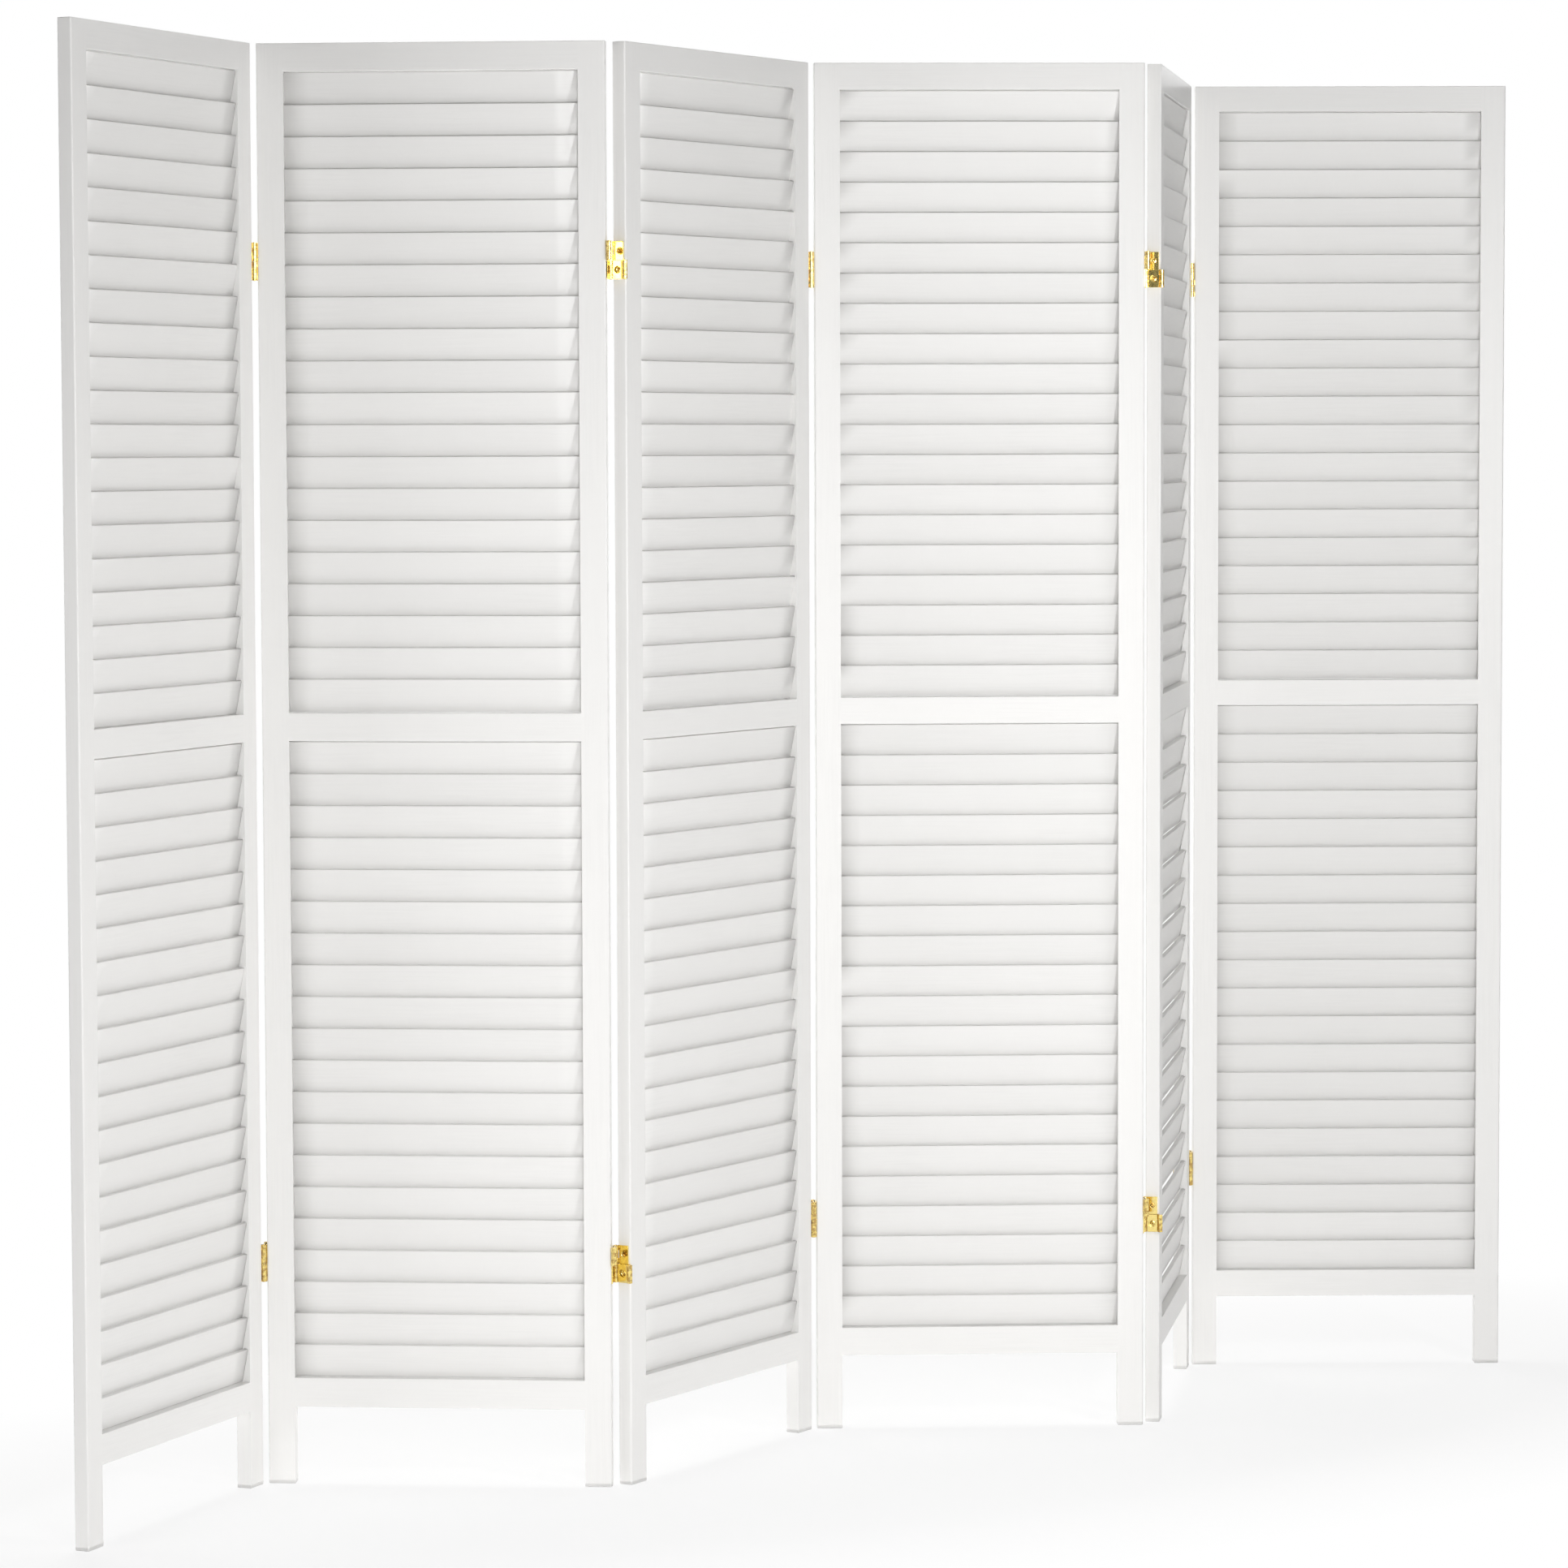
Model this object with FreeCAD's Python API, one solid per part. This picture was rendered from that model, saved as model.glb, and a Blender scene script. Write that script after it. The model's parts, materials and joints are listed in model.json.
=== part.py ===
import FreeCAD, Part
import math
import os

# Folding louvred room divider: six painted panels in a zigzag, joined by double-action hinges.
# Millimetres and degrees. +X runs along the screen, the fronts face -Y, the legs stand on Z = 0.
# A panel is drawn in its own frame: X from its left edge, Y = 0 at mid thickness, front at -Y.

# Panel
panel_height = 1700.0
panel_width = 410.0
panel_thickness = 18.0
stile_width = 32.0
leg_height = 92.0
bottom_rail_height = 35.0
lower_opening_height = 757.0
middle_rail_height = 33.0
top_rail_height = 33.0
outer_arris_radius = 2.0
end_arris_radius = 1.2
rail_arris_radius = 0.8

# Mortise and tenon joints
tenon_thickness = 7.0
tenon_length = 20.0
tenon_shoulder = 5.0
mortise_clearance = 0.1
mortise_end_gap = 0.5

# Louvre slats, top edge to the front
slat_width = 39.5
slat_thickness = 5.5
slat_corner_radius = 1.0
slat_tilt_deg = 11.5
slat_spacing = 37.6
slat_top_gap = 0.5
slat_bottom_gap = 0.5
slot_depth = 6.0
slot_clearance = 0.15
slot_end_gap = 0.3

# Double-action hinges, two on each fold line
hinge_gap = 7.2
hinge_height = 44.0
hinge_top_drop = 254.0
hinge_floor_rise = 264.0
pivot_offset = 0.8
barrel_radius = 3.2
barrel_clearance = 0.3
middle_knuckle_length = 8.9
knuckle_gap = 0.2
strap_gap = 0.5
leaf_thickness = 1.5
leaf_relief_clearance = 0.6
leaf_corner_radius = 1.0
strap_thickness = 1.2
strap_hole_radius = 4.4
pin_radius = 1.4
pin_clearance = 0.05
pin_head_height = 0.5

# Countersunk wood screws
screw_length = 16.0
screw_head_radius = 3.2
screw_shank_radius = 1.6
screw_tip_length = 4.0
screw_clearance = 0.15
recess_length = 3.4
recess_width = 0.8
recess_depth = 1.1

# Fold of each line as the screen stands. A valley closes the fronts, a peak closes the backs.
fold_lines = (
    ("valley", 71.7),
    ("peak", 62.5),
    ("valley", 55.7),
    ("peak", 77.8),
    ("valley", 79.6),
)

overrun = 1.0

front = -panel_thickness / 2
back = panel_thickness / 2
opening_width = panel_width - 2 * stile_width
bottom_rail_z = leg_height
lower_opening_z = bottom_rail_z + bottom_rail_height
middle_rail_z = lower_opening_z + lower_opening_height
upper_opening_z = middle_rail_z + middle_rail_height
top_rail_z = panel_height - top_rail_height
upper_opening_height = top_rail_z - upper_opening_z
hinge_heights = (hinge_floor_rise, panel_height - hinge_top_drop)
pivot_y = panel_thickness / 2 + pivot_offset
half_hinge = (hinge_height - strap_gap) / 2
outer_knuckle_length = (half_hinge - middle_knuckle_length - 2 * knuckle_gap) / 2
screw_rise = (strap_gap + half_hinge) / 2
bore_radius = pin_radius + pin_clearance
left_hinge_x = -hinge_gap / 2
right_hinge_x = panel_width + hinge_gap / 2

ORIGIN = FreeCAD.Vector(0, 0, 0)
X_AXIS = FreeCAD.Vector(1, 0, 0)
Z_AXIS = FreeCAD.Vector(0, 0, 1)


def block(x0, x1, y0, y1, z0, z1):
    """A box between two corners."""
    return Part.makeBox(x1 - x0, y1 - y0, z1 - z0, FreeCAD.Vector(x0, y0, z0))


def moved(shape, x=0.0, y=0.0, z=0.0):
    """A copy of a shape, shifted."""
    copy = shape.copy()
    copy.translate(FreeCAD.Vector(x, y, z))
    return copy


def turned(shape, axis, degrees):
    """A copy of a shape, turned about an axis through the origin."""
    copy = shape.copy()
    copy.rotate(ORIGIN, axis, degrees)
    return copy


def joined(shapes):
    """One solid from touching or overlapping shapes."""
    return shapes[0].fuse(list(shapes[1:])).removeSplitter()


def edges_at(shape, test):
    """The edges of a shape whose middle passes a test on x, y and z."""
    found = []
    for edge in shape.Edges:
        box = edge.BoundBox
        if test(box):
            found.append(edge)
    return found


def flat_at(low, high, place):
    """Whether a range of coordinates lies at one place."""
    reach = outer_arris_radius / 100
    return abs(low - place) < reach and abs(high - place) < reach


# Panel frame

def stile_blank():
    """The left stile before its joints are cut: outer arrises and both ends eased."""
    blank = block(0, stile_width, front, back, 0, panel_height)
    long_edges = edges_at(
        blank,
        lambda box: flat_at(box.XMin, box.XMax, 0) and box.ZLength > panel_height / 2,
    )
    blank = blank.makeFillet(outer_arris_radius, long_edges)
    end_edges = edges_at(
        blank,
        lambda box: flat_at(box.ZMin, box.ZMax, 0)
        or (
            flat_at(box.ZMin, box.ZMax, panel_height)
            and not flat_at(box.XMin, box.XMax, stile_width)
        ),
    )
    return blank.makeFillet(end_arris_radius, end_edges)


def mortise(rail_z, rail_height):
    """The tool that cuts one rail's mortise in the left stile."""
    half = tenon_thickness / 2 + mortise_clearance
    return block(
        stile_width - tenon_length - mortise_end_gap,
        stile_width + overrun,
        -half,
        half,
        rail_z + tenon_shoulder - mortise_clearance,
        rail_z + rail_height - tenon_shoulder + mortise_clearance,
    )


def pilot_holes():
    """The tools that bore the hinge screws' pilot holes in the left stile."""
    radius = screw_shank_radius + screw_clearance
    depth = screw_length - leaf_thickness + mortise_end_gap
    holes = []
    for hinge_z in hinge_heights:
        for rise in (-screw_rise, screw_rise):
            start = FreeCAD.Vector(-overrun, 0, hinge_z + rise)
            holes.append(Part.makeCylinder(radius, depth + overrun, start, X_AXIS))
    return holes


def left_stile(with_hinges):
    """The left stile in the panel's frame."""
    tools = [
        mortise(bottom_rail_z, bottom_rail_height),
        mortise(middle_rail_z, middle_rail_height),
        mortise(top_rail_z, top_rail_height),
    ]
    slot = slat_prism(slot_clearance, stile_width - slot_depth, stile_width + overrun)
    for height in slat_centres():
        tools.append(moved(slot, z=height))
    if with_hinges:
        tools += pilot_holes()
    return stile_blank().cut(tools)


def right_stile(with_hinges):
    """The right stile: the left one mirrored across the panel."""
    middle = FreeCAD.Vector(panel_width / 2, 0, 0)
    return left_stile(with_hinges).mirror(middle, X_AXIS)


def rail(rail_z, rail_height, top_radius):
    """A rail with a tenon at each end, seated against the stiles."""
    top = rail_z + rail_height
    bar = block(stile_width, panel_width - stile_width, front, back, rail_z, top)
    lower_edges = edges_at(
        bar,
        lambda box: flat_at(box.ZMin, box.ZMax, rail_z) and box.XLength > stile_width,
    )
    bar = bar.makeFillet(rail_arris_radius, lower_edges)
    upper_edges = edges_at(
        bar,
        lambda box: flat_at(box.ZMin, box.ZMax, top) and box.XLength > stile_width,
    )
    bar = bar.makeFillet(top_radius, upper_edges)
    half = tenon_thickness / 2
    tongue = block(
        stile_width - tenon_length,
        panel_width - stile_width + tenon_length,
        -half,
        half,
        rail_z + tenon_shoulder,
        top - tenon_shoulder,
    )
    return joined([bar, tongue])


# Louvre slats

def slat_prism(growth, x0, x1):
    """A tilted slat between two places along X, centred on Z = 0 and grown all round."""
    half_width = slat_width / 2 + growth
    half_thickness = slat_thickness / 2 + growth
    bar = block(x0, x1, -half_thickness, half_thickness, -half_width, half_width)
    long_edges = edges_at(bar, lambda box: box.XLength > (x1 - x0) / 2)
    bar = bar.makeFillet(slat_corner_radius + growth, long_edges)
    return turned(bar, X_AXIS, slat_tilt_deg)


def slat_centres():
    """The heights of all slat centres of a panel, opening by opening."""
    tilt = math.radians(slat_tilt_deg)
    slat_reach = slat_width * math.cos(tilt) + slat_thickness * math.sin(tilt)
    heights = []
    openings = (
        (lower_opening_z, lower_opening_height),
        (upper_opening_z, upper_opening_height),
    )
    for opening_z, opening_height in openings:
        count = round(opening_height / slat_spacing)
        lowest = opening_z + slat_bottom_gap + slat_reach / 2
        highest = opening_z + opening_height - slat_top_gap - slat_reach / 2
        step = (highest - lowest) / (count - 1)
        heights += [lowest + step * number for number in range(count)]
    return heights


def louvre_slats():
    """All the slats of a panel, housed in the slots of both stiles."""
    hold = slot_depth - slot_end_gap
    slat = slat_prism(0, stile_width - hold, panel_width - stile_width + hold)
    return [moved(slat, z=height) for height in slat_centres()]


# Hinges, drawn flat and centred on the origin, the left panel's leaf at -X

def half_spans():
    """The Z ranges of the lower and the upper half of a hinge."""
    return (-strap_gap / 2 - half_hinge, -strap_gap / 2), (strap_gap / 2, strap_gap / 2 + half_hinge)


def knuckle(y, z0, z1):
    """A solid knuckle about a pivot."""
    return Part.makeCylinder(barrel_radius, z1 - z0, FreeCAD.Vector(0, y, z0), Z_AXIS)


def pin_bore(y, z0, z1):
    """The tool that bores the knuckles of one half for their pin."""
    start = FreeCAD.Vector(0, y, z0 - overrun)
    return Part.makeCylinder(bore_radius, z1 - z0 + 2 * overrun, start, Z_AXIS)


def hinge_leaf():
    """The left leaf: front barrel on its upper half, back barrel on its lower half."""
    (low, low_top), (high_bottom, high) = half_spans()
    outer = -hinge_gap / 2
    inner = outer + leaf_thickness
    relief = barrel_radius - pivot_offset + leaf_relief_clearance
    plate = joined([
        block(outer, inner, front, back - relief, -strap_gap / 2, high),
        block(outer, inner, front + relief, back, low, strap_gap / 2),
    ])
    corners = edges_at(
        plate,
        lambda box: box.XLength > leaf_thickness / 2
        and (
            (flat_at(box.YMin, box.YMax, back - relief) and flat_at(box.ZMin, box.ZMax, high))
            or (flat_at(box.YMin, box.YMax, front + relief) and flat_at(box.ZMin, box.ZMax, low))
        ),
    )
    plate = plate.makeFillet(leaf_corner_radius, corners)
    notch = pivot_y - barrel_radius - barrel_clearance
    pieces = [plate]
    cuts = []
    for y, z0, z1 in ((-pivot_y, high_bottom, high), (pivot_y, low, low_top)):
        pieces.append(knuckle(y, z0, z0 + outer_knuckle_length))
        pieces.append(knuckle(y, z1 - outer_knuckle_length, z1))
        cuts.append(pin_bore(y, z0, z1))
        edge = math.copysign(notch, y)
        outside = math.copysign(pivot_y + barrel_radius + overrun, y)
        cuts.append(block(
            outer - overrun,
            inner + overrun,
            min(edge, outside),
            max(edge, outside),
            z0 + outer_knuckle_length,
            z1 - outer_knuckle_length,
        ))
    cuts += [screw_seat(outer, rise) for rise in (-screw_rise, screw_rise)]
    return joined(pieces).cut(cuts)


def screw_seat(outer, rise):
    """The countersunk hole of one screw through the left leaf."""
    mouth = screw_head_radius + screw_clearance
    throat = screw_shank_radius + screw_clearance
    inner = outer + leaf_thickness
    sink = mouth - throat
    cone = Part.makeCone(mouth, throat, sink, FreeCAD.Vector(inner, 0, rise), -X_AXIS)
    hole = Part.makeCylinder(
        throat, leaf_thickness + 2 * overrun, FreeCAD.Vector(outer - overrun, 0, rise), X_AXIS
    )
    return joined([cone, hole])


def hinge_strap(z0, z1):
    """A strap between the front and the back barrel of one half, with its screwdriver hole."""
    half = strap_thickness / 2
    knuckle_low = z0 + outer_knuckle_length + knuckle_gap
    knuckle_high = z1 - outer_knuckle_length - knuckle_gap
    body_reach = pivot_y - barrel_radius - barrel_clearance
    pieces = [
        block(-half, half, -body_reach, body_reach, z0, z1),
        block(-half, half, -pivot_y, pivot_y, knuckle_low, knuckle_high),
    ]
    cuts = []
    for y in (-pivot_y, pivot_y):
        pieces.append(knuckle(y, knuckle_low, knuckle_high))
        cuts.append(pin_bore(y, z0, z1))
    start = FreeCAD.Vector(-half - overrun, 0, (z0 + z1) / 2)
    cuts.append(Part.makeCylinder(strap_hole_radius, strap_thickness + 2 * overrun, start, X_AXIS))
    return joined(pieces).cut(cuts)


def hinge_pin(y, z0, z1, head_up):
    """A pin through one barrel, with a domed head at the hinge's outer end."""
    reach = z1 - z0 + pin_head_height
    start = z0 if head_up else z0 - pin_head_height
    pin = Part.makeCylinder(pin_radius, reach, FreeCAD.Vector(0, y, start), Z_AXIS)
    tip = start + reach if head_up else start
    rim = edges_at(pin, lambda box: flat_at(box.ZMin, box.ZMax, tip))
    return pin.makeFillet(pin_head_height, rim)


def leaf_pins():
    """The two pins that the left leaf carries."""
    (low, low_top), (high_bottom, high) = half_spans()
    return [
        hinge_pin(-pivot_y, high_bottom, high, True),
        hinge_pin(pivot_y, low, low_top, False),
    ]


def wood_screw(rise):
    """One countersunk screw of the left leaf, driven towards -X, with a cross recess."""
    face = -hinge_gap / 2 + leaf_thickness
    head_depth = screw_head_radius - screw_shank_radius
    shank_length = screw_length - head_depth - screw_tip_length
    head_start = FreeCAD.Vector(face, 0, rise)
    shank_start = FreeCAD.Vector(face - head_depth, 0, rise)
    tip_start = FreeCAD.Vector(face - head_depth - shank_length, 0, rise)
    screw = joined([
        Part.makeCone(screw_head_radius, screw_shank_radius, head_depth, head_start, -X_AXIS),
        Part.makeCylinder(screw_shank_radius, shank_length, shank_start, -X_AXIS),
        Part.makeCone(screw_shank_radius, 0, screw_tip_length, tip_start, -X_AXIS),
    ])
    arm = recess_length / 2
    half = recess_width / 2
    sunk = face - recess_depth
    proud = face + overrun
    return screw.cut([
        block(sunk, proud, -arm, arm, rise - half, rise + half),
        block(sunk, proud, -half, half, rise - arm, rise + arm),
    ])


# Places of the panels

def point_on(place, x, y):
    """A point of a panel's frame, in the screen's frame."""
    return place.multVec(FreeCAD.Vector(x, y, 0))


def panel_place(heading, x, y, point):
    """The place of a panel with this heading whose own point x, y lies at a given point."""
    turn = FreeCAD.Rotation(Z_AXIS, heading)
    return FreeCAD.Placement(point - turn.multVec(FreeCAD.Vector(x, y, 0)), turn)


def pivot_side(fold):
    """The Y of the working pivots of a fold line, in the panels' frames."""
    return -pivot_y if fold == "valley" else pivot_y


def chain_from(first_heading):
    """The places of all panels, each hung on the pivot of the panel before it."""
    places = [panel_place(first_heading, 0, 0, ORIGIN)]
    heading = first_heading
    for fold, angle in fold_lines:
        heading += -angle if fold == "valley" else angle
        side = pivot_side(fold)
        pivot = point_on(places[-1], right_hinge_x, side)
        places.append(panel_place(heading, left_hinge_x, side, pivot))
    return places


def panel_places():
    """The chain with its two ends in line with X."""
    places = chain_from(0)
    end = point_on(places[-1], panel_width, 0)
    return chain_from(-math.degrees(math.atan2(end.y, end.x)))


# Pieces of each panel

def hinge_pieces(number, last):
    """The leaves, straps, pins and screws of one panel, in its frame."""
    leaf, pins = hinge_leaf(), leaf_pins()
    screws = [wood_screw(rise) for rise in (-screw_rise, screw_rise)]
    lower_span, upper_span = half_spans()
    sides = []
    if number < last:
        fold = fold_lines[number - 1][0]
        span = lower_span if fold == "valley" else upper_span
        sides.append((right_hinge_x, 0, span))
    if number > 1:
        fold = fold_lines[number - 2][0]
        span = upper_span if fold == "valley" else lower_span
        sides.append((left_hinge_x, 180, span))
    groups = {"leaves": [], "straps": [], "pins": [], "screws": []}
    for x, degrees, span in sides:
        for z in hinge_heights:
            groups["leaves"].append(moved(turned(leaf, Z_AXIS, degrees), x, 0, z))
            groups["straps"].append(moved(hinge_strap(*span), x, 0, z))
            groups["pins"] += [moved(turned(pin, Z_AXIS, degrees), x, 0, z) for pin in pins]
            groups["screws"] += [moved(turned(screw, Z_AXIS, degrees), x, 0, z) for screw in screws]
    return groups


def panel_pieces(number, last):
    """Every piece of one panel by name, in the panel's frame."""
    pieces = {
        "left_stile": [left_stile(number > 1)],
        "right_stile": [right_stile(number < last)],
        "top_rail": [rail(top_rail_z, top_rail_height, end_arris_radius)],
        "middle_rail": [rail(middle_rail_z, middle_rail_height, rail_arris_radius)],
        "bottom_rail": [rail(bottom_rail_z, bottom_rail_height, rail_arris_radius)],
        "louvre_slats": louvre_slats(),
    }
    for name, solids in hinge_pieces(number, last).items():
        pieces["hinge_" + name] = solids
    return pieces


def screen():
    """Every node of the screen by name, with the middle of its footprint over the origin."""
    places = panel_places()
    nodes = {}
    for number, place in enumerate(places, start=1):
        for name, solids in panel_pieces(number, len(places)).items():
            whole = solids[0] if len(solids) == 1 else Part.makeCompound(solids)
            whole.Placement = place.multiply(whole.Placement)
            nodes[f"panel_{number}_{name}"] = whole
    box = FreeCAD.BoundBox()
    for whole in nodes.values():
        box.add(whole.BoundBox)
    shift = FreeCAD.Vector(-box.Center.x, -box.Center.y, 0)
    for whole in nodes.values():
        whole.translate(shift)
    for number, (fold, angle) in enumerate(fold_lines, start=1):
        pivot = point_on(places[number - 1], right_hinge_x, pivot_side(fold)) + shift
        print(f"fold line {number}: {fold} {angle:.1f} at x {pivot.x:.3f} y {pivot.y:.3f}")
    for number, place in enumerate(places, start=1):
        corner = place.Base + shift
        heading = math.degrees(place.Rotation.Angle) * place.Rotation.Axis.z
        print(f"panel {number}: heading {heading:.3f} origin x {corner.x:.3f} y {corner.y:.3f}")
    print(f"size {box.XLength:.1f} x {box.YLength:.1f} x {box.ZLength:.1f}")
    return nodes


def main():
    os.makedirs("parts", exist_ok=True)
    for name, shape in screen().items():
        if not shape.isValid():
            raise ValueError(f"{name} is not a valid shape")
        shape.exportStep(f"parts/{name}.step")


main()
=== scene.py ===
"""Paint, polish and studio for the folding louvred screen."""

import json
import math
import random

import bmesh
import bpy
from bpy.props import FloatProperty, FloatVectorProperty, IntProperty, PointerProperty
from mathutils import Matrix, Vector

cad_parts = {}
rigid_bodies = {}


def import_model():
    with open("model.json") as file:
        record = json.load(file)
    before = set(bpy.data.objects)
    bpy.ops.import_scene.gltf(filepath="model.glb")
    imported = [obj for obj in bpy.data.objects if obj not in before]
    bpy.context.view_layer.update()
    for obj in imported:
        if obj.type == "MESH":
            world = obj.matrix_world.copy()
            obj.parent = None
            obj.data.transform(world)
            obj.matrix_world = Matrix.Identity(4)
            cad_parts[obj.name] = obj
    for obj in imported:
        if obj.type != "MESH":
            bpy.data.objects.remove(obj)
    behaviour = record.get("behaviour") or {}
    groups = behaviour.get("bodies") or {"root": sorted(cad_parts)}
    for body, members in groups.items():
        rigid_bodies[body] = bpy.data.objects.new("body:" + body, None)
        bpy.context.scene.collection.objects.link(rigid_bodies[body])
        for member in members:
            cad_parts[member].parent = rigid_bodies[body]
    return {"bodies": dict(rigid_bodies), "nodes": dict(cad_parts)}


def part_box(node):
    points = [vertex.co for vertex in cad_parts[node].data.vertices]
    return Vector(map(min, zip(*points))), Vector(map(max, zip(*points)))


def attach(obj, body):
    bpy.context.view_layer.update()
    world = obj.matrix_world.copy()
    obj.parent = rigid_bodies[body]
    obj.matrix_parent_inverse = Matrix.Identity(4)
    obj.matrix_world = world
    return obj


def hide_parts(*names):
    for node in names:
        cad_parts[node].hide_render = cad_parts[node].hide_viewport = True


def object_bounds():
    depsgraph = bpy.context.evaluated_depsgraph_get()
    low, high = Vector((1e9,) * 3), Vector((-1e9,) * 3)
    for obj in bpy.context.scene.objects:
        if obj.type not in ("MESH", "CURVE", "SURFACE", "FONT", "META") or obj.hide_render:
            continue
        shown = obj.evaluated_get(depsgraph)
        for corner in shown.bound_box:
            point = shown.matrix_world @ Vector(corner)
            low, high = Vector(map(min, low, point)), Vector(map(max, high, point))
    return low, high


bl_info = {
    "name": "Louvred Folding Screen",
    "version": (1, 0, 0),
    "blender": (4, 5, 0),
    "location": "View3D > Sidebar > Folding Screen",
    "description": "Paints a folding louvred screen, polishes its hinges and sets it in a white studio",
    "category": "Object",
}

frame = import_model()
cad_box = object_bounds()

MM = 0.001
PANELS = range(1, len(frame["bodies"]) + 1)
UP = Vector((0, 0, 1))
SHARP_ANGLE = math.radians(35)
FLAT_ANGLE = math.radians(0.5)
MERGE_REACH = 0.001 * MM
HEAD_SLACK = 0.01 * MM
EDGE_SEGMENTS = 2
FLOOR_SEGMENTS = 96
WHITE = (1, 1, 1, 1)

# The most that a slat lifts at its middle is its most bow divided by this
LIFT_DIVISOR = 3

# The floor starts to fade at this share of the distance at which it is white
FADE_START = 0.6

# Noise patterns: scale, detail and stretch
PATTERNS = {
    "grain": (420, 4, (0.035, 1, 1)),
    "pores": (1500, 2, (0.03, 1, 1)),
    "peel": (700, 2, (1, 1, 1)),
    "cloud": (9, 2, (1, 1, 1)),
    "patch": (260, 3, (1, 1, 1)),
    "wave": (330, 1, (1, 1, 1)),
    "rub": (1800, 3, (1, 1, 1)),
}

# Spans of noise that are read, and the spans that they become
FIGURE_SPAN = (0.42, 0.62)
FIGURE_STRENGTH = (0.25, 1)
TONE_SHARE = (0.985, 1.015)
PEEL_SPAN = (0.3, 0.7)
PEEL_ROUGHNESS = (0.9, 1.12)
DULL_SPAN = (0.4, 0.6)
RUB_SPAN = (0.35, 0.7)
RUB_ROUGHNESS = (0.7, 1.5)
ROLLED_WAVES = (1, 3)

# Brass finishes: how much they have dulled, and their roughness beside that of the polish. On the
# screws the full dulling is partly painted shade and dark reflection in the recessed heads.
FINISHES = {
    "leaf_brass": (0.12, 1.0),
    "strap_brass": (0.08, 1.0),
    "pin_brass": (0.7, 1.2),
    "screw_brass": (1.0, 1.6),
}

# Lamps: place, width and power
LAMPS = {
    "camera_lamp": ((-3.0, -5.6, 1.2), 2.0, 69.0),
    "near_lamp": ((-1.3, -2.3, 0.9), 0.7, 14.4),
    "key_lamp": ((0.3, -2.3, 1.3), 0.22, 15.0),
    "side_lamp": ((-4.0, -0.55, 0.95), 1.0, 17.5),
    "back_lamp": ((1.0, 4.8, 1.4), 2.5, 76.0),
    "back_left_lamp": ((-3.0, 3.2, 1.2), 1.5, 28.0),
    "back_right_lamp": ((4.4, 2.1, 1.3), 1.5, 33.0),
    "top_lamp": ((0.0, 1.0, 4.6), 1.2, 72.0),
}
FLOOR_LAMPS = {
    "front_floor_lamp": ((0.0, -1.4, 0.004), 3.6, 15.6),
    "back_floor_lamp": ((0.0, 2.1, 0.004), 3.4, 16.7),
}

# What only the polished metal reflects: a bright lamp, and dark flags (place, width and height)
GLINT = ((0.57, -2.31, 1.51), 0.5, 11.0)
FLAGS = {
    "left_flag": ((-4.3, -2.5, 1.6), 3.0, 2.2),
    "right_flag": ((2.9, -4.0, 1.6), 3.0, 2.2),
    "far_right_flag": ((5.0, 0.4, 1.6), 2.0, 2.2),
    "far_left_flag": ((-4.2, 2.4, 1.6), 2.0, 2.2),
    "back_flag": ((1.2, 4.6, 1.6), 1.6, 2.2),
}


# Settings

class PaintSettings(bpy.types.PropertyGroup):
    """The satin paint on the timber."""

    color: FloatVectorProperty(
        name="Paint", description="Colour of the paint", subtype="COLOR",
        default=(0.836, 0.828, 0.814), min=0, max=1,
    )
    # Painted shade: the slats take the frames' paint, darkened by this share
    slat_painted_shade: FloatProperty(
        name="Slat Share", description="Brightness of the slats beside that of the frames",
        default=0.95, min=0, max=1,
    )
    roughness: FloatProperty(
        name="Roughness", description="Roughness of the satin coat", default=0.42, min=0, max=1,
    )
    streak: FloatProperty(
        name="Streak", description="How much darker the grain streaks are", default=0.02, min=0, max=1,
    )
    grain_depth: FloatProperty(
        name="Grain Depth", description="Relief of the grain under the paint", unit="LENGTH",
        default=0.014 * MM, precision=6,
    )
    peel_depth: FloatProperty(
        name="Peel Depth", description="Relief of the sprayed coat", unit="LENGTH",
        default=0.006 * MM, precision=6,
    )


class SlatSettings(bpy.types.PropertyGroup):
    """How the thin slats differ from one another."""

    bow: FloatProperty(
        name="Bow", description="Most that a slat bows at its middle", unit="LENGTH",
        default=0.45 * MM, precision=5,
    )
    twist: FloatProperty(
        name="Twist", description="Most that a slat twists at its middle", subtype="ANGLE",
        default=math.radians(0.9),
    )
    play: FloatProperty(
        name="Play", description="Most that a slat turns in its slots", subtype="ANGLE",
        default=math.radians(0.25),
    )
    stations: IntProperty(
        name="Stations", description="Cuts along a slat that let it bend", default=9, min=1,
    )
    seed: IntProperty(name="Seed", description="Start of the random draws", default=7)


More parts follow.
